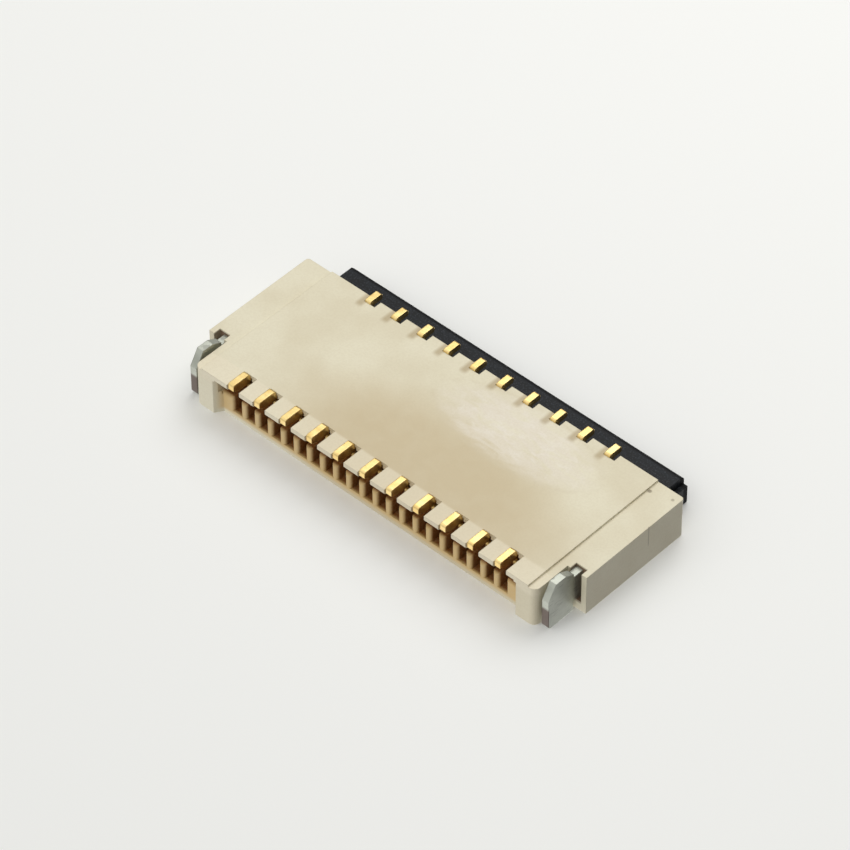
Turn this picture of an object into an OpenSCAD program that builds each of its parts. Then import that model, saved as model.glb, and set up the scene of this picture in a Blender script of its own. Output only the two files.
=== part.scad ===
// Back-flip connector for a flexible printed circuit, fine pitch, staggered solder tails.
// Frame: contact row along X, cable enters from -Y, lever at +Y, board plane at Z = 0.

/* [Contact row] */
// Number of contacts, odd, so that the front row has one more than the rear row
contact_count = 21; // [11:2:51]
// Distance between neighbouring contacts
pitch = 0.3; // [0.28:0.01:0.6]

/* [Housing] */
// Depth of the moulded housing, front to back
housing_depth = 3.2; // [3.1:0.05:4]
// Height from the board to the top
height = 0.93; // [0.88:0.01:1.2]
// Gap between the board and the middle of the housing
standoff = 0.05; // [0.02:0.01:0.08]
// Extra gap between the board and the two ends of the housing
end_relief = 0.04; // [0.01:0.01:0.1]
// Thickness of the floor under the cable
floor_t = 0.13; // [0.1:0.01:0.16]
// Thickness of the skin under a contact groove
groove_skin = 0.06; // [0.04:0.01:0.08]
// Thickness of the roof over the contacts
roof_t = 0.15; // [0.1:0.01:0.18]
// Distance from the front of the floor to the front of the roof
roof_setback = 0.15; // [0.05:0.01:0.25]
// Depth of the cable slot behind the front of the floor
slot_depth = 1.42; // [1.2:0.02:1.5]
// Height of the cable slot
slot_h = 0.28; // [0.22:0.01:0.3]
// Distance from the last contact to the side of the cable slot
slot_margin = 0.37; // [0.3:0.01:0.6]
// Thickness of the wall that the contacts are pressed into
core_t = 0.38; // [0.3:0.01:0.42]
// Radius of the lead-in at the front of each rib and tooth
lead_in_r = 0.055; // [0.02:0.005:0.06]

/* [Housing ends] */
// Width of the front tower beside the cable slot
tower_w = 0.47; // [0.35:0.01:0.8]
// Radius of the outer front corner of the tower
tower_r = 0.13; // [0.03:0.01:0.2]
// Bevel between the tower and the front of the roof
tower_bevel = 0.1; // [0.02:0.01:0.12]
// Thickness of the end wall, from the tower's side face outwards
end_wall_t = 0.41; // [0.38:0.01:0.6]
// Depth of the recess for the hold-down, from the front
end_recess = 0.78; // [0.7:0.01:0.9]
// Distance from the last contact to the step under the housing
pad_step = 0.68; // [0.5:0.01:0.8]
// Radius of the rear corners
corner_r = 0.06; // [0.02:0.01:0.12]

/* [Contacts] */
// Thickness of the contact strip
contact_t = 0.12; // [0.08:0.01:0.14]
// Gap on each side of a contact in its groove
groove_gap = 0.02; // [0.01:0.005:0.03]
// Height of a contact's lower beam
lower_beam_h = 0.09; // [0.06:0.01:0.11]
// Height of a contact's upper beam
upper_beam_h = 0.14; // [0.1:0.01:0.16]
// Gap between the upper beam and the roof
upper_beam_gap = 0.08; // [0.04:0.01:0.1]
// How far the contact point reaches into the cable slot
contact_reach = 0.1; // [0.04:0.01:0.14]
// Distance from the front of the floor to the contact point
contact_point_y = 0.52; // [0.4:0.02:0.9]
// Radius of the contact point
contact_point_r = 0.06; // [0.03:0.01:0.08]
// Length of the hook behind the lever's cam
hook_l = 0.14; // [0.08:0.01:0.18]
// How far the hook reaches down behind the cam
hook_drop = 0.09; // [0.03:0.01:0.12]

/* [Solder tails] */
// Height of a solder tail
tail_h = 0.13; // [0.08:0.01:0.14]
// Length of a front tail
front_tail_l = 0.4; // [0.25:0.01:0.4]
// How far a front tail's nose lies behind the front of the floor
front_tail_inset = 0.02; // [0:0.01:0.08]
// Width of the notch beside each front tail
front_notch_w = 0.145; // [0.08:0.005:0.15]
// Depth of the notch round each front tail
front_notch_l = 0.44; // [0.44:0.01:0.6]
// Length of a rear tail
rear_tail_l = 0.31; // [0.2:0.01:0.4]
// How far a rear tail reaches past the housing
rear_tail_out = 0.15; // [0.05:0.01:0.2]
// Width of the notch beside each rear tail
rear_notch_w = 0.1; // [0.06:0.005:0.15]
// Radius on the ends of a tail
tail_r = 0.045; // [0.01:0.005:0.05]

/* [Lever] */
// How far the closed lever reaches past the housing
lever_overhang = 0.6; // [0.4:0.02:0.9]
// Thickness of the lever's rear bar
lever_t = 0.55; // [0.4:0.01:0.58]
// Gap between the top of the lever and the top of the housing
lever_flush_gap = 0.01; // [0:0.01:0.05]
// Distance from the wall behind the contacts to the hinge axis
hinge_back = 0.58; // [0.57:0.01:0.7]
// Height of the hinge axis over the board
hinge_z = 0.38; // [0.37:0.005:0.39]
// Height of the cam when the lever is closed
cam_h = 0.3; // [0.24:0.01:0.31]
// Width of the cam when the lever is closed
cam_w = 0.2; // [0.12:0.01:0.22]
// Radius of the nose of the lever's ribs round the hinge axis
rib_nose_r = 0.17; // [0.16:0.005:0.18]
// Radius of the pivot boss at each end
boss_r = 0.13; // [0.09:0.01:0.15]
// Length of the pivot boss
boss_l = 0.2; // [0.12:0.01:0.24]
// Running gap between a pivot boss and its bore
boss_gap = 0.02; // [0.015:0.005:0.04]
// Height of the lever's upper half, which is a little longer than its lower half
lever_upper_h = 0.37; // [0.2:0.01:0.4]
// Gap between the end of the lever and the end wall
lever_end_gap = 0.04; // [0.03:0.01:0.08]
// Step between the lever's upper and lower halves at each end
lever_end_step = 0.08; // [0.02:0.01:0.12]
// Chamfer along the lever's free edge
lever_chamfer = 0.06; // [0.02:0.01:0.1]

/* [Hold-downs] */
// Thickness of the hold-down plate
plate_t = 0.14; // [0.1:0.01:0.16]
// Gap between the tower and the hold-down plate
plate_gap = 0.06; // [0.02:0.01:0.1]
// Distance from the front of the floor to the front of the plate
plate_inset = 0.1; // [0.04:0.01:0.16]
// Length of the plate's head
plate_l = 0.61; // [0.5:0.01:0.62]
// Length of the bevel in front of the plate's foot
plate_toe_l = 0.18; // [0.05:0.01:0.2]
// Height of the bevel in front of the plate's foot
plate_toe_h = 0.3; // [0.1:0.01:0.35]
// Length of the bevel behind the plate's foot
plate_heel_l = 0.2; // [0.05:0.01:0.22]
// Height of the bevel behind the plate's foot
plate_heel_h = 0.1; // [0.02:0.01:0.12]
// Radius of the plate's corner at the top
plate_top_r = 0.08; // [0.03:0.01:0.15]
// Distance from the board to the lower edge of the tongue
tongue_z = 0.16; // [0.13:0.01:0.25]
// Height of the tongue
tongue_h = 0.58; // [0.3:0.01:0.6]
// Length of the tongue inside the end wall
tongue_l = 0.85; // [0.5:0.01:0.95]
// Width of the open mouth beside the tongue
mouth_w = 0.1; // [0.04:0.01:0.12]
// Depth of the open mouth beside the tongue
mouth_l = 0.15; // [0.08:0.01:0.25]

/* [Hidden] */
$fn = 32;
// Overlap that carries a cut past the face it opens
cut = 0.02;
front_count = (contact_count + 1) / 2;
rear_count = (contact_count - 1) / 2;
row_half = (contact_count - 1) * pitch / 2;

// Places along Y
front_y = -(housing_depth + lever_overhang) / 2;
back_y = front_y + housing_depth;
roof_y = front_y + roof_setback;
slot_end_y = front_y + slot_depth;
core_end_y = slot_end_y + core_t;
hinge_y = core_end_y + hinge_back;
recess_y = front_y + end_recess;
front_tail_y = front_y + front_tail_inset;
rear_tail_end_y = back_y + rear_tail_out;
rear_tail_y = rear_tail_end_y - rear_tail_l;
plate_y = front_y + plate_inset;
lever_end_y = back_y + lever_overhang;

// Heights
floor_z = standoff + floor_t;
groove_z = standoff + groove_skin;
slot_top_z = floor_z + slot_h;
roof_z = height - roof_t;
lower_beam_z = groove_z + lower_beam_h;
upper_beam_top_z = roof_z - upper_beam_gap;
upper_beam_z = upper_beam_top_z - upper_beam_h;
lever_top_z = height - lever_flush_gap;

// Places along X
slot_x = row_half + slot_margin;
tower_x = slot_x + tower_w;
end_x = tower_x + end_wall_t;
step_x = row_half + pad_step;
plate_x = tower_x + plate_gap;
well_x = tower_x + cut;
lever_x = well_x - lever_end_gap;
groove_w = contact_t + 2 * groove_gap;

// Running gap between the lever and the hooks, round the circle that each of them sweeps
swing_gap = 2 * groove_gap;
hook_y = hinge_y + cam_h / 2 + swing_gap;
hook_end_y = hook_y + hook_l;
window_r = norm([hook_end_y - hinge_y, upper_beam_top_z - hinge_z]) + swing_gap;
// The lever's ribs are bevelled at their top and thicken behind their nose
nose_bevel = rib_nose_r / 2;
rib_back_y = hinge_y + 2 * rib_nose_r;

function numbered(name, i) = str(name, i < 10 ? "0" : "", i);

// Place of one contact along the row
function front_x(i) = -row_half + 2 * pitch * (i - 1);
function rear_x(i) = -row_half + pitch + 2 * pitch * (i - 1);
function row_x(i) = -row_half + pitch * (i - 1);

// Points of an arc about a centre, from one angle to another
function arc(centre, r, from, to, steps = 6) =
    [for (k = [0:steps]) centre + r * [cos(from + (to - from) * k / steps), sin(from + (to - from) * k / steps)]];

// Stands a profile drawn in Y and Z upright and centres its thickness on x
module blade(x, thickness) {
    translate([x - thickness / 2, 0, 0])
        rotate([90, 0, 90])
            linear_extrude(thickness)
                children();
}

// A box given by its two far corners
module block(from, to) {
    translate(from)
        cube(to - from);
}

// Both ends of the housing are mirror images
module both_ends() {
    children();
    mirror([1, 0, 0])
        children();
}

// ---- Housing ----

module housing() {
    color([0.87, 0.82, 0.73])
        difference() {
            housing_body();
            cable_slot();
            cable_lead_in();
            for (i = [1:contact_count]) contact_groove(row_x(i));
            for (i = [1:contact_count]) rib_lead_in(row_x(i));
            for (i = [1:front_count]) front_notch(front_x(i));
            for (i = [1:rear_count]) rear_notch(rear_x(i));
            lever_well();
            both_ends() end_cuts();
        }
}

// Outer form: the floor's outline carried up to the top, with towers at the ends
module housing_body() {
    translate([0, 0, standoff])
        linear_extrude(height - standoff)
            housing_outline();
}

module housing_outline() {
    right = concat(
        [[tower_x - tower_r, front_y]],
        arc([tower_x - tower_r, front_y + tower_r], tower_r, -90, 0),
        [[tower_x, recess_y]],
        [[end_x, recess_y]],
        arc([end_x - corner_r, back_y - corner_r], corner_r, 0, 90)
    );
    left = [for (k = [len(right) - 1:-1:0]) [-right[k][0], right[k][1]]];
    polygon(concat(right, left));
}

// Room for the cable, open at the front, where the roof is set back behind the floor
module cable_slot() {
    block([-slot_x, front_y - cut, floor_z], [slot_x, slot_end_y, slot_top_z]);
    translate([0, 0, floor_z])
        linear_extrude(height)
            mouth_outline();
}

module mouth_outline() {
    mouth_x = slot_x - tower_bevel / 2;
    polygon([
        [-mouth_x, roof_y],
        [mouth_x, roof_y],
        [mouth_x + tower_bevel, front_y],
        [mouth_x + tower_bevel, front_y - cut],
        [-mouth_x - tower_bevel, front_y - cut],
        [-mouth_x - tower_bevel, front_y]
    ]);
}

// Rounded edges that guide the cable in, under it and over it
module cable_lead_in() {
    blade(0, 2 * slot_x)
        polygon(concat(
            [[front_y - cut, floor_z + cut]],
            [[front_y - cut, floor_z - lead_in_r]],
            arc([front_y + lead_in_r, floor_z - lead_in_r], lead_in_r, 180, 90),
            [[front_y + lead_in_r, floor_z + cut]]
        ));
    blade(0, 2 * slot_x)
        polygon(concat(
            [[roof_y - cut, slot_top_z - cut]],
            [[roof_y - cut, slot_top_z + lead_in_r]],
            arc([roof_y + lead_in_r, slot_top_z + lead_in_r], lead_in_r, 180, 270),
            [[roof_y + lead_in_r, slot_top_z - cut]]
        ));
}

// Rounded noses on the two ribs beside one contact's upper groove
module rib_lead_in(x) {
    side = groove_w / 2 + lead_in_r;
    translate([x, roof_y, slot_top_z - cut])
        linear_extrude(roof_z - slot_top_z + cut)
            polygon(concat(
                [[-side, -cut]],
                arc([-side, lead_in_r], lead_in_r, -90, 0),
                arc([side, lead_in_r], lead_in_r, 180, 270),
                [[side, -cut]]
            ));
}

// One contact's groove: under the cable, over it, and through the wall behind it
module contact_groove(x) {
    beam_front_y = front_y + front_notch_l;
    block([x - groove_w / 2, beam_front_y, groove_z], [x + groove_w / 2, slot_end_y, floor_z + cut]);
    blade(x, groove_w)
        polygon(concat(
            [[slot_end_y, slot_top_z - cut]],
            [[slot_end_y, roof_z]],
            [[roof_y - cut, roof_z]],
            [[roof_y - cut, slot_top_z - cut]]
        ));
    block([x - contact_t / 2, slot_end_y - cut, groove_z], [x + contact_t / 2, core_end_y + cut, upper_beam_top_z]);
    block([x - groove_w / 2, core_end_y, groove_z], [x + groove_w / 2, rear_tail_y, floor_z + cut]);
}

// The notch beside a front tail goes right through the floor
module front_notch(x) {
    block(
        [x - contact_t / 2 - front_notch_w, front_y - cut, 0],
        [x + contact_t / 2 + groove_gap, front_y + front_notch_l, floor_z + cut]
    );
}

module rear_notch(x) {
    block(
        [x - contact_t / 2 - rear_notch_w, rear_tail_y, 0],
        [x + contact_t / 2 + groove_gap, back_y + cut, floor_z + cut]
    );
}

// Open space for the lever, between the end walls and behind the contacts' wall
module lever_well() {
    block([-well_x, core_end_y, floor_z], [well_x, back_y + cut, height + cut]);
}

// Cuts at one end: the raised pad, the pivot bore and the hold-down's slot
module end_cuts() {
    block([step_x, front_y - cut, 0], [end_x + cut, back_y + cut, standoff + end_relief]);
    translate([well_x - cut, hinge_y, hinge_z])
        rotate([0, 90, 0])
            cylinder(r = boss_r + boss_gap, h = boss_l + boss_gap + cut);
    block(
        [plate_x, recess_y - cut, tongue_z],
        [plate_x + plate_t, recess_y + tongue_l, tongue_z + tongue_h]
    );
    block(
        [plate_x, recess_y - cut, 0],
        [plate_x + plate_t + mouth_w, recess_y + mouth_l, tongue_z + tongue_h]
    );
}

// ---- Contacts ----

// Upper beam, wall and lower beam of one blade, without its solder tail
module blade_body() {
    point = [front_y + contact_point_y, slot_top_z - contact_reach + contact_point_r];
    beam_front_y = front_y + front_notch_l - cut;
    polygon(concat(
        [[beam_front_y, groove_z]],
        [[rear_tail_y + cut, groove_z]],
        [[rear_tail_y + cut, lower_beam_z]],
        [[core_end_y, lower_beam_z]],
        [[core_end_y, upper_beam_z]],
        [[hook_y, upper_beam_z]],
        [[hook_y, upper_beam_z - hook_drop]],
        arc([hook_end_y - tail_r, upper_beam_z - hook_drop + tail_r], tail_r, -90, 0),
        arc([hook_end_y - tail_r, upper_beam_top_z - tail_r], tail_r, 0, 90),
        [[point[0] - contact_point_r, upper_beam_top_z]],
        arc(point, contact_point_r, 180, 360),
        [[point[0] + contact_point_r, upper_beam_z]],
        [[slot_end_y, upper_beam_z]],
        [[slot_end_y, lower_beam_z]],
        [[beam_front_y, lower_beam_z]]
    ));
}

// Solder tail under the front of the cable slot
module front_tail() {
    tail_end_y = front_tail_y + front_tail_l;
    polygon(concat(
        arc([front_tail_y + tail_r, tail_r], tail_r, 180, 270),
        arc([tail_end_y - tail_r, tail_r], tail_r, -90, 0),
        [[tail_end_y, groove_z]],
        [[front_y + front_notch_l, groove_z]],
        [[front_y + front_notch_l, lower_beam_z]],
        [[front_tail_y + tail_h, lower_beam_z]],
        [[front_tail_y, tail_h]]
    ));
}

// Solder tail behind the housing
module rear_tail() {
    polygon(concat(
        arc([rear_tail_y + tail_r, tail_r], tail_r, 180, 270),
        arc([rear_tail_end_y - tail_r, tail_r], tail_r, -90, 0),
        arc([rear_tail_end_y - tail_r, tail_h - tail_r], tail_r, 0, 90),
        [[rear_tail_y + tail_h, tail_h]],
        [[rear_tail_y + cut, lower_beam_z]],
        [[rear_tail_y, lower_beam_z]]
    ));
}

module contact_front(i) {
    color([0.9, 0.74, 0.36])
        blade(front_x(i), contact_t) {
            blade_body();
            front_tail();
        }
}

module contact_rear(i) {
    color([0.9, 0.74, 0.36])
        blade(rear_x(i), contact_t) {
            blade_body();
            rear_tail();
        }
}

// ---- Lever ----

module lever() {
    color([0.2, 0.2, 0.21]) {
        difference() {
            lever_bar();
            for (i = [1:contact_count]) lever_window(row_x(i));
        }
        for (i = [1:contact_count]) cam(row_x(i));
        both_ends() pivot_boss();
    }
}

// Closed lever: the upper half is a little longer than the lower half
module lever_bar() {
    lever_mid_z = lever_top_z - lever_upper_h;
    intersection() {
        blade(0, 2 * lever_x)
            lever_profile();
        union() {
            block([-lever_x, front_y, lever_mid_z], [lever_x, lever_end_y + cut, height]);
            block(
                [-lever_x + lever_end_step, front_y, 0],
                [lever_x - lever_end_step, lever_end_y + cut, height]
            );
        }
    }
}

module lever_profile() {
    under_z = lever_top_z - lever_t;
    polygon(concat(
        arc([hinge_y, hinge_z], rib_nose_r, 180, 315, 12),
        [[rib_back_y, under_z]],
        [[lever_end_y - lever_chamfer, under_z]],
        [[lever_end_y, under_z + lever_chamfer]],
        [[lever_end_y, lever_top_z]],
        [[hinge_y - nose_bevel, lever_top_z]],
        [[hinge_y - rib_nose_r, lever_top_z - nose_bevel]]
    ));
}

// A window lets one contact's hook swing past the lever
module lever_window(x) {
    block(
        [x - groove_w / 2, front_y, 0],
        [x + groove_w / 2, hinge_y + window_r, height + cut]
    );
}

// The cam under one hook is tall when the lever is closed
module cam(x) {
    half_flat = (cam_h - cam_w) / 2;
    blade(x, groove_w + cut) {
        translate([hinge_y, hinge_z + half_flat]) circle(d = cam_w);
        translate([hinge_y - cam_w / 2, hinge_z - half_flat]) square([cam_w, 2 * half_flat]);
        translate([hinge_y, hinge_z - half_flat]) circle(d = cam_w);
    }
}

module pivot_boss() {
    root = lever_end_step + cut;
    translate([lever_x - root, hinge_y, hinge_z])
        rotate([0, 90, 0])
            cylinder(r = boss_r, h = root + boss_l);
}

// ---- Hold-downs ----

module hold_down_profile() {
    head_end_y = plate_y + plate_l;
    tongue_end_y = recess_y + tongue_l;
    polygon(concat(
        [[plate_y, plate_toe_h]],
        [[plate_y + plate_toe_l, 0]],
        [[head_end_y - plate_heel_l, 0]],
        [[head_end_y, plate_heel_h]],
        [[head_end_y, tongue_z]],
        [[tongue_end_y, tongue_z]],
        [[tongue_end_y, tongue_z + tongue_h]],
        [[head_end_y, tongue_z + tongue_h]],
        [[head_end_y, height]],
        arc([plate_y + plate_top_r, height - plate_top_r], plate_top_r, 90, 180)
    ));
}

module hold_down(side) {
    color([0.6, 0.61, 0.6])
        blade(side * (plate_x + plate_t / 2), plate_t)
            hold_down_profile();
}

housing();
lever();
hold_down(-1);  // hold_down_left
hold_down(1);  // hold_down_right
for (i = [1:front_count]) contact_front(i);
for (i = [1:rear_count]) contact_rear(i);
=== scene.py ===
# %% [markdown]
# # A connector for a flexible circuit
# This small connector is soldered to a circuit board. A flat, flexible circuit is pushed into its front, and a
# black lever at its back is turned down to clamp it. Its real pieces come from a finished model as fixed
# solids, so this lesson is about surfaces: moulded resin, gold plating and tin plating at a scale where a
# tenth of a millimetre shows.

# %% Load the solids and measure them
import math

import bpy
from mathutils import Matrix, Vector


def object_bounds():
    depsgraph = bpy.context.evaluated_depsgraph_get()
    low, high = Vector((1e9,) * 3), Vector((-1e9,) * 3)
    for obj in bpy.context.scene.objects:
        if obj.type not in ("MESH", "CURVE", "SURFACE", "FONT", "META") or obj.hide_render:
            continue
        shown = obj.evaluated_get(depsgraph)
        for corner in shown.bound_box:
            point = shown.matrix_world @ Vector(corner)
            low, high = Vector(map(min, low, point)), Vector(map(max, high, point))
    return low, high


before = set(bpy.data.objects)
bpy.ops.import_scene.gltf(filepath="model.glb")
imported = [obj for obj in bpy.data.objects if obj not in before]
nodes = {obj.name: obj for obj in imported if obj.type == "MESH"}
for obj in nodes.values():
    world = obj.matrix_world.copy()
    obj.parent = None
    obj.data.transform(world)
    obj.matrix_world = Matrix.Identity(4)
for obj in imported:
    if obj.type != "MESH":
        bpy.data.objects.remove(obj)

solid_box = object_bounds()
MM = 0.001
size_mm = [(high - low) / MM for low, high in zip(*solid_box)]
print("pieces:", len(nodes), "size in mm:", [round(s, 3) for s in size_mm])

# %% [markdown]
# ## Where the camera stands
# The connector is looked at from its solder side, where its tails show. The solids keep their natural
# position, with the board plane below them, so the camera goes below and is turned over instead. A long lens
# from far away suits such a small thing, because it keeps the rows nearly parallel.

# %% Camera
LENS = 209.0
DISTANCE = 82.12 * MM
NEAREST, FARTHEST = 1 * MM, 1000 * MM
AIM = Vector((0.168, -0.168, 0.3)) * MM
AZIMUTH, ELEVATION, ROLL = (math.radians(angle) for angle in (-42.91, -45.16, 179.7))


def place_camera():
    """Stands the camera at its distance from the aim, looking back at it."""
    back = Vector((
        math.sin(AZIMUTH) * math.cos(ELEVATION),
        -math.cos(AZIMUTH) * math.cos(ELEVATION),
        math.sin(ELEVATION),
    ))
    camera = bpy.data.objects.new("camera", bpy.data.cameras.new("camera"))
    bpy.context.scene.collection.objects.link(camera)
    camera.data.lens = LENS
    camera.data.clip_start, camera.data.clip_end = NEAREST, FARTHEST
    place = Matrix.Translation(AIM + back * DISTANCE)
    turn = (-back).to_track_quat("-Z", "Y").to_matrix().to_4x4()
    camera.matrix_world = place @ turn @ Matrix.Rotation(ROLL, 4, "Z")
    bpy.context.scene.camera = camera
    return camera


camera = place_camera()
print("camera at, in mm:", [round(v / MM, 1) for v in camera.location])

# %% [markdown]
# ## Shader sums that read like sums
# A procedural material is a small formula. Wiring its nodes by hand hides the formula, so a socket is wrapped
# in a class whose plus, minus and times signs add the Math nodes. One method makes every node.

# %% A wrapped socket, a node tree and a finish
class Wire:
    """A shader socket that can stand in a sum."""

    def __init__(self, tree, socket):
        self.tree, self.socket = tree, socket

    def math(self, operation, *values):
        return self.tree.node("ShaderNodeMath", {"operation": operation}, dict(enumerate(values)))

    def __add__(self, other):
        return self.math("ADD", self, other)

    def __sub__(self, other):
        return self.math("SUBTRACT", self, other)

    def __rsub__(self, other):
        return self.math("SUBTRACT", other, self)

    def __mul__(self, other):
        return self.math("MULTIPLY", self, other)

    def __truediv__(self, other):
        return self.math("DIVIDE", self, other)

    __radd__, __rmul__ = __add__, __mul__

    def size(self):
        return self.math("ABSOLUTE", self)

    def ramp(self, zero_at, one_at):
        """0 up to one place, 1 from the other on, and smooth between them. Either may be the lower one."""
        low, high = (0.0, 1.0) if zero_at < one_at else (1.0, 0.0)
        slots = {
            "Value": self,
            "From Min": min(zero_at, one_at),
            "From Max": max(zero_at, one_at),
            "To Min": low,
            "To Max": high,
        }
        return self.tree.node("ShaderNodeMapRange", {"interpolation_type": "SMOOTHSTEP"}, slots, "Result")


class Tree:
    """The nodes of one material or of the world."""

    def __init__(self, owner):
        owner.use_nodes = True
        self.graph = owner.node_tree
        self.graph.nodes.clear()

    def node(self, kind, settings, slots, result=0):
        """Makes one node, sets it up, feeds its inputs, and returns one of its outputs."""
        made = self.graph.nodes.new(kind)
        for name, value in settings.items():
            setattr(made, name, value)
        for slot, value in slots.items():
            if isinstance(value, Wire):
                self.graph.links.new(value.socket, made.inputs[slot])
            else:
                made.inputs[slot].default_value = value
        return Wire(self, made.outputs[result]) if made.outputs else None


class Finish(Tree):
    """One procedural material. Its patterns are measured in millimetres."""

    def __init__(self, name):
        self.material = bpy.data.materials.new(name)
        super().__init__(self.material)
        place = self.node("ShaderNodeTexCoord", {}, {}, "Object")
        self.mm = self.node("ShaderNodeVectorMath", {"operation": "SCALE"}, {0: place, "Scale": 1 / MM})

    def axes(self):
        return [self.node("ShaderNodeSeparateXYZ", {}, {0: self.mm}, axis) for axis in range(3)]

    def stretch(self, x, y, z):
        """The place, with each axis scaled, so that a pattern runs long one way."""
        return self.node("ShaderNodeVectorMath", {"operation": "MULTIPLY"}, {0: self.mm, 1: (x, y, z)})

    def noise(self, scale, detail=3.0, place=None, distortion=0.0):
        slots = {"Vector": place or self.mm, "Scale": scale, "Detail": detail, "Distortion": distortion}
        return self.node("ShaderNodeTexNoise", {}, slots)

    def blend(self, share, first, second):
        """The first colour where share is 0, and the second where it is 1."""
        first, second = (c if isinstance(c, Wire) else (*c, 1.0) for c in (first, second))
        # a Mix node has its two colours at inputs 6 and 7, and their mixture at output 2
        return self.node("ShaderNodeMix", {"data_type": "RGBA"}, {"Factor": share, 6: first, 7: second}, 2)

    def layers(self, colour, *coats):
        """Lays each coat, a share and a colour, over what is there already."""
        for share, tint in coats:
            colour = self.blend(share, colour, tint)
        return colour

    def bump(self, height, depth_mm, strength, normal):
        slots = {"Height": height, "Distance": depth_mm * MM, "Strength": strength, "Normal": normal}
        return self.node("ShaderNodeBump", {}, slots, "Normal")

    def rounded(self, radius_mm):
        """Normals that turn smoothly over each edge, as a moulded or plated edge does."""
        return self.node("ShaderNodeBevel", {"samples": 4}, {"Radius": radius_mm * MM}, "Normal")

    def close(self, slots):
        """Ends the material with a shader that has these inputs."""
        shader = self.node("ShaderNodeBsdfPrincipled", {}, slots)
        self.node("ShaderNodeOutputMaterial", {}, {"Surface": shader})


def paint(finish, names):
    """Gives one finish to these solids."""
    for name in names:
        slots = nodes[name].data.materials
        slots.clear()
        slots.append(finish.material)
    print(finish.material.name, "on", len(names), "pieces")


def srgb(*display):
    """A colour written in 0 to 255 display numbers, as linear light."""
    shares = [c / 255 for c in display]
    return tuple(c / 12.92 if c <= 0.04045 else ((c + 0.055) / 1.055) ** 2.4 for c in shares)


print("a display grey of 128 is", round(srgb(128)[0], 3), "in linear light")


# %% [markdown]
# ## The housing's resin
# Liquid-crystal polymer flows into thin walls, and its fibres leave it mottled: paler where the melt ran fast,
# darker and pinker where it settled. The thin teeth at the front let light through and look nearly white.
# Large soft clouds make the mottling, a stretched noise makes the flow marks, and a fine one the grain. Each
# zone below is a share between 0 and 1, made from ramps over the place in millimetres.

# %% Housing finish
PITCH = 0.3
TAIL_SHADOW_SIDE = 0.1


def housing_resin():
    resin = Finish("housing_resin")
    x, y, z = resin.axes()
    side = x.size()
    clouds = resin.noise(0.8, 2.0)
    patches = resin.noise(2.6, 3.0, distortion=0.6)
    flow = resin.noise(1.0, 4.0, resin.stretch(1.3, 4.5, 2.0), 1.2)
    flecks = resin.noise(4.5, 5.0, resin.stretch(1.0, 1.8, 2.0), 0.5)
    grain = resin.noise(26.0, 3.0)

    def blot(centre_x, centre_y, half_l, half_w):
        """1 in the middle of an oval on the board side, and 0 outside it."""
        across, along = (x - centre_x) / half_l, (y - centre_y) / half_w
        return (across * across + along * along).ramp(1.0, 0.1)

    # the melt settled near the front, and ran in at an oval with a darker rim
    settled = blot(-0.7, -1.15, 3.6, 1.7) * (0.75 + patches * 0.45)
    oval = blot(-1.3, 0.5, 1.95, 0.8)
    rim = oval.ramp(0.0, 0.1) * oval.ramp(0.3, 0.1) * patches.ramp(0.35, 0.6)
    # the thin teeth are painted paler, as painted light that shines through them
    teeth_painted_glow = y.ramp(-1.44, -1.5) * z.ramp(0.3, 0.2)
    # inside the slot the rib fronts get a painted reflection of the gold, and each groove gets painted shade,
    # darker still
    slot = z.ramp(0.16, 0.24) * z.ramp(0.9, 0.8) * side.ramp(3.42, 3.3) * y.ramp(-0.25, -0.4)
    painted_gold_reflection, painted_groove_shade = slot * y.ramp(-1.3, -1.4), slot * y.ramp(-1.76, -1.68)
    # the pockets round the hold-downs get painted shade too
    painted_pocket_shade = side.ramp(3.85, 3.9) * side.ramp(4.16, 4.13) * z.ramp(0.1, 0.13) * z.ramp(0.79, 0.76)
    painted_pocket_shade = painted_pocket_shade * y.ramp(-1.14, -1.1) * y.ramp(-0.2, -0.26)
    # one end wall has a short hairline, and beside it two small pits, painted dark as the shade inside them
    hairline = (y - 0.41).size().ramp(0.016, 0.004) * z.ramp(0.56, 0.46) * x.ramp(-4.22, -4.24)
    painted_pit_shade = blot(-3.72, 1.04, 0.05, 0.05) + blot(-4.13, 1.14, 0.04, 0.04) * 0.7
    # a painted shadow lies beside each rear tail, on the side where the tail would cast it
    from_tail = resin.node("ShaderNodeMath", {"operation": "PINGPONG"}, {0: x + (PITCH - TAIL_SHADOW_SIDE), 1: PITCH})
    painted_tail_shadow = from_tail.ramp(0.11, 0.02) * y.ramp(0.94, 1.06) * z.ramp(0.3, 0.2) * side.ramp(3.0, 2.9)

    colour = resin.layers(
        srgb(220, 211, 184),
        (clouds.ramp(0.35, 0.65), srgb(228, 221, 196)),
        (settled, srgb(204, 188, 154)),
        (rim * 0.3, srgb(204, 191, 160)),
        (oval * flow.ramp(0.3, 0.6) * 0.85, srgb(228, 219, 202)),
        (oval * flecks.ramp(0.45, 0.7) * 0.5, srgb(234, 227, 214)),
        (teeth_painted_glow * 0.6, srgb(233, 223, 198)),
        (painted_gold_reflection * 0.85, srgb(210, 176, 108)),
        (painted_groove_shade * 0.98, srgb(124, 70, 6)),
        (painted_pocket_shade * 0.9, srgb(104, 70, 44)),
        (hairline * 0.45, srgb(110, 95, 70)),
        # painted shadow beside each rear tail
        (painted_tail_shadow * 0.6, srgb(158, 134, 88)),
        (painted_pit_shade * 0.7, srgb(110, 95, 70)),
        (grain.ramp(0.35, 0.7) * 0.14, srgb(196, 182, 150)),
    )
    waves = resin.bump(flow * oval + patches * 0.4, 0.012, 0.5, resin.rounded(0.018))
    resin.close({
        "Base Color": colour,
        "Roughness": 0.44 + flow * 0.2 - oval * 0.08,
        "Normal": resin.bump(grain, 0.003, 0.6, waves),
    })
    return resin


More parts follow.
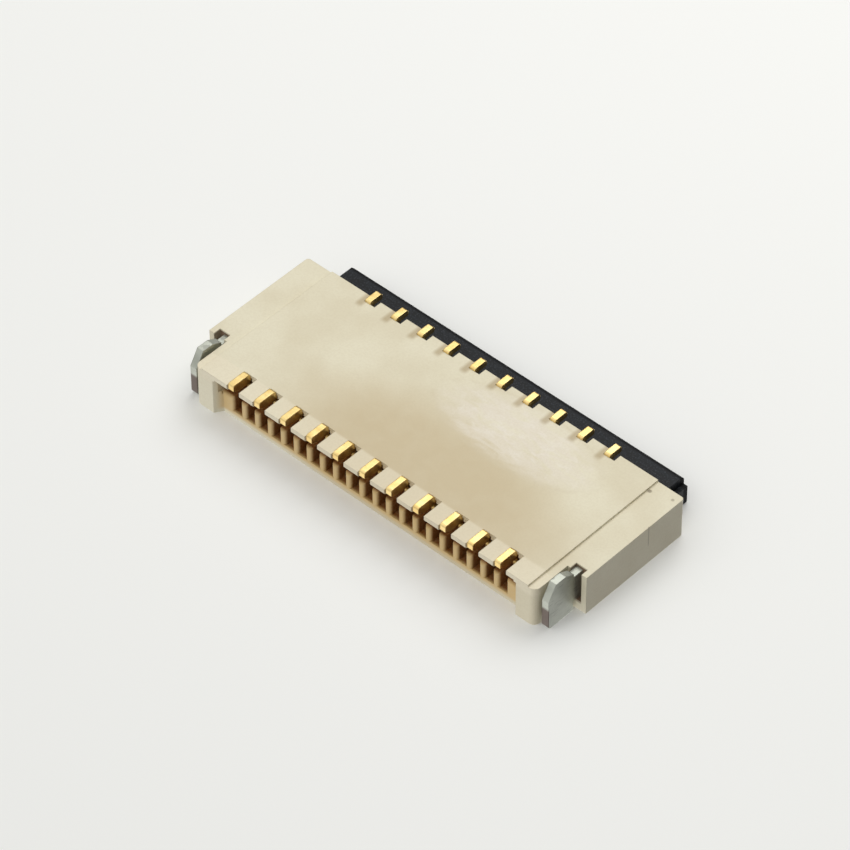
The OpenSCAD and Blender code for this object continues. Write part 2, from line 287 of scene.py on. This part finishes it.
paint(housing_resin(), ["housing"])

# %% [markdown]
# ## The lever's resin
# The lever is black, filled with glass fibre. The fibres at its surface catch the light as fine grey streaks
# along the way the melt ran, so the same idea is used with dark greys.

# %% Lever finish
def lever_resin():
    resin = Finish("lever_resin")
    streaks = resin.noise(3.0, 4.0, resin.stretch(1.0, 5.0, 5.0), 0.8)
    grain = resin.noise(30.0, 2.0)
    # the band along the free edge is darker and rougher
    edge = resin.axes()[1].ramp(1.78, 1.82)
    colour = resin.layers(
        srgb(6, 9, 12),
        (streaks.ramp(0.35, 0.7), srgb(24, 29, 34)),
        (grain.ramp(0.5, 0.68) * 0.45, srgb(62, 66, 74)),
        (edge * 0.9, srgb(6, 6, 8)),
    )
    resin.close({
        "Base Color": colour,
        "Roughness": 0.45 + streaks * 0.2 + edge * 0.2,
        "Specular IOR Level": 0.28,
        "Normal": resin.bump(grain, 0.003, 0.5, resin.rounded(0.015)),
    })
    return resin


paint(lever_resin(), ["lever"])

# %% [markdown]
# ## Gold on the contacts
# Each contact is stamped from thin strip and then plated. Its cut edges show the tool's fine upright lines, and
# the plating is a little uneven, so both the colour and the gloss wander slightly.

# %% Gold finish
def gold_plating():
    gold = Finish("gold_plating")
    cloud = gold.noise(5.0, 3.0)
    lines = gold.noise(6.0, 2.0, gold.stretch(1.0, 6.0, 1.0))
    colour = gold.layers(
        srgb(236, 203, 130),
        (cloud.ramp(0.3, 0.7), srgb(250, 224, 158)),
        (lines.ramp(0.55, 0.75) * 0.3, srgb(206, 158, 80)),
    )
    gold.close({
        "Base Color": colour,
        "Metallic": 1.0,
        "Roughness": 0.22 + cloud * 0.2,
        "Normal": gold.bump(lines, 0.004, 0.5, gold.rounded(0.02)),
    })
    return gold


paint(gold_plating(), sorted(n for n in nodes if n.startswith("contact_")))

# %% [markdown]
# ## Tin on the hold-downs
# The side plates are tinned, which gives a soft grey shine with cloudy patches. Bare darker metal shows where
# the plate was sheared from its strip.

# %% Tin finish
def tin_plating():
    tin = Finish("tin_plating")
    y, z = tin.axes()[1:]
    cloud = tin.noise(3.0, 4.0, distortion=0.5)
    scratches = tin.noise(5.0, 3.0, tin.stretch(1.0, 1.0, 8.0))
    # the part of the front edge that is far from the board stays bare
    bare = y.ramp(-1.775, -1.79) * z.ramp(0.44, 0.52)
    colour = tin.layers(
        srgb(180, 183, 172),
        (cloud.ramp(0.3, 0.7), srgb(204, 207, 196)),
        (scratches.ramp(0.58, 0.7) * 0.35, srgb(98, 96, 88)),
        (bare * 0.85, srgb(92, 72, 66)),
    )
    tin.close({
        "Base Color": colour,
        "Metallic": 0.9,
        "Roughness": 0.36 + cloud * 0.25,
        "Normal": tin.bump(cloud + scratches * 0.5, 0.003, 0.5, tin.rounded(0.02)),
    })
    return tin


paint(tin_plating(), ["hold_down_left", "hold_down_right"])

# %% [markdown]
# ## A table on either side
# The main view looks up at the solder side, as if the connector lay on its back, and other views look down on
# it. Each side gets a pale table that only the camera sees, and only from its own side, so neither table hides
# the connector or its lights from the other. Each stands a hair away from the solids, because two faces in one
# plane would flicker.

# %% Tables
TABLE_GAP = 0.003 * MM
TABLE_HALF = 400 * MM
TABLE_COLOUR = (0.895, 0.9, 0.885, 1.0)
OTHER_RAYS = ("diffuse", "glossy", "transmission", "volume_scatter", "shadow")


def table_surface():
    """A matt face that can't be seen from behind."""
    surface = bpy.data.materials.new("table_surface")
    tree = Tree(surface)
    from_behind = tree.node("ShaderNodeNewGeometry", {}, {}, "Backfacing")
    matt = tree.node("ShaderNodeBsdfDiffuse", {}, {"Color": TABLE_COLOUR})
    clear = tree.node("ShaderNodeBsdfTransparent", {}, {})
    mix = tree.node("ShaderNodeMixShader", {}, {0: from_behind, 1: matt, 2: clear})
    tree.node("ShaderNodeOutputMaterial", {}, {"Surface": mix})
    return surface


def add_table(name, height, upwards, surface):
    ends = (-TABLE_HALF, TABLE_HALF)
    corners = [(x, y, height) for x in ends for y in ends]
    mesh = bpy.data.meshes.new(name)
    mesh.from_pydata(corners, [], [(0, 2, 3, 1) if upwards else (1, 3, 2, 0)])
    mesh.materials.append(surface)
    table = bpy.data.objects.new(name, mesh)
    bpy.context.scene.collection.objects.link(table)
    for ray in OTHER_RAYS:
        setattr(table, "visible_" + ray, False)
    print(name, "at", round(height / MM, 3), "mm")


surface = table_surface()
add_table("table_below", solid_box[0].z - TABLE_GAP, True, surface)
add_table("table_above", solid_box[1].z + TABLE_GAP, False, surface)

# %% [markdown]
# ## Soft light from both sides
# A light tent is bright overhead and dimmer round the sides, which is why an end wall looks half as bright as
# the face that looks at the light. The world's strength follows the height of the ray for that. One broad lamp
# on each side adds the soft shadow, and its level leaves a colour about as bright as it is written.

# %% World and lamps
SIDE_LEVEL, OVERHEAD_LEVEL, FRONT_LEVEL, DARK_SHARE = 0.12, 0.98, 0.62, 0.62
BACKDROP_LEVEL, TENT_COLOUR = 0.86, (1.0, 1.0, 0.985, 1.0)
LAMP_SIZE, LAMP_LEVEL, LAMP_DISTANCE = 50 * MM, 1.8, 60 * MM
LAMP_COLOUR = (1.0, 0.985, 0.96)
SOFTBOXES = {"softbox_below": (0.12, 0.75, -1.0), "softbox_above": (0.12, 0.75, 1.0)}


def light_tent():
    world = bpy.data.worlds.new("light_tent")
    bpy.context.scene.world = world
    tree = Tree(world)
    ray = tree.node("ShaderNodeTexCoord", {}, {}, "Generated")
    x, y, z = (tree.node("ShaderNodeSeparateXYZ", {}, {0: ray}, axis) for axis in range(3))
    steep, front, dark_end = z.size().ramp(0.25, 0.95), y.ramp(0.1, -0.9), x.ramp(-0.1, -0.8)
    tent = SIDE_LEVEL + steep * (OVERHEAD_LEVEL - SIDE_LEVEL) + front * FRONT_LEVEL
    tent = tent * (1 - dark_end * DARK_SHARE)
    seen = tree.node("ShaderNodeLightPath", {}, {}, "Is Camera Ray")
    level = tent * (1 - seen) + seen * BACKDROP_LEVEL
    background = tree.node("ShaderNodeBackground", {}, {"Color": TENT_COLOUR, "Strength": level})
    tree.node("ShaderNodeOutputWorld", {}, {"Surface": background})


def softbox(name, direction):
    """A broad square lamp that looks at the middle of the connector."""
    lamp = bpy.data.lights.new(name, "AREA")
    lamp.shape, lamp.size, lamp.color = "SQUARE", LAMP_SIZE, LAMP_COLOUR
    lamp.energy = LAMP_LEVEL * math.pi * LAMP_SIZE**2
    holder = bpy.data.objects.new(name, lamp)
    bpy.context.scene.collection.objects.link(holder)
    away = Vector(direction).normalized()
    turn = away.to_track_quat("Z", "Y").to_matrix().to_4x4()
    holder.matrix_world = Matrix.Translation(away * LAMP_DISTANCE) @ turn
    print(name, "with", round(lamp.energy, 4), "watts")


light_tent()
for name, direction in SOFTBOXES.items():
    softbox(name, direction)

# %% [markdown]
# ## Colour as written
# The plain Standard view shows each colour about as bright as it is written.

# %% The view
bpy.context.scene.view_settings.view_transform = "Standard"
print("view:", bpy.context.scene.view_settings.view_transform)
